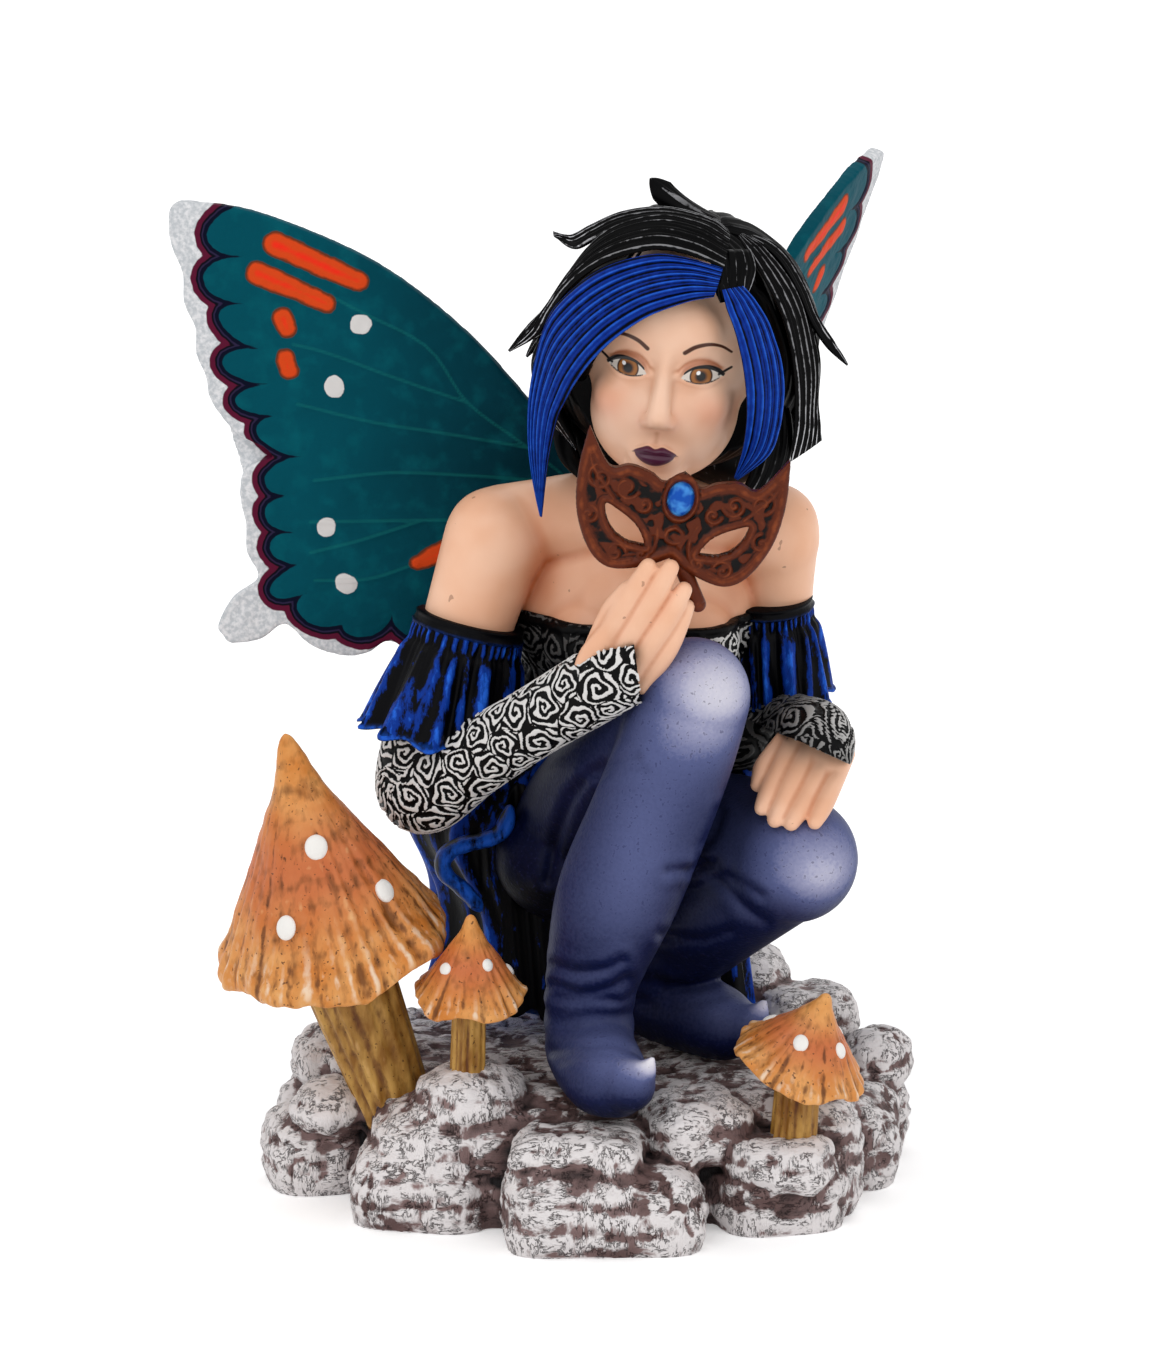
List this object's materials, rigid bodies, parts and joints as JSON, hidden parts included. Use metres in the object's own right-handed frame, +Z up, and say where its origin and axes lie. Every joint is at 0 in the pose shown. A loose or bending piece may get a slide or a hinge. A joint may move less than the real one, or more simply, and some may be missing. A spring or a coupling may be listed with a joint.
{
  "type": "fairy figurine",
  "caption": "Painted cast-resin figurine of a winged fairy who crouches on rocks among toadstools and holds a small carnival mask.",
  "frame": {"origin": "middle of the flat underside of the rocks", "axes": "+Z up, -Y towards the side that the fairy faces, +X towards her left hand"},
  "size_m": [0.0946, 0.0976, 0.1286],
  "materials": {
    "painted_resin": "cast resin, airbrushed and dry-brushed by hand, matte",
    "wing_paint": "thin cast resin, teal paint with a white, maroon and orange pattern, satin",
    "mask_paint": "thin cast resin, copper-brown paint over black, satin",
    "toadstool_paint": "cast resin, orange and ochre paint under a brown wash, matte"
  },
  "bodies": {
    "root": {"figure_and_rocks": "painted_resin", "right_wing": "wing_paint", "left_wing": "wing_paint", "mask": "mask_paint", "large_toadstool": "toadstool_paint", "small_toadstool": "toadstool_paint", "front_toadstool": "toadstool_paint"}
  },
  "joints": []
}
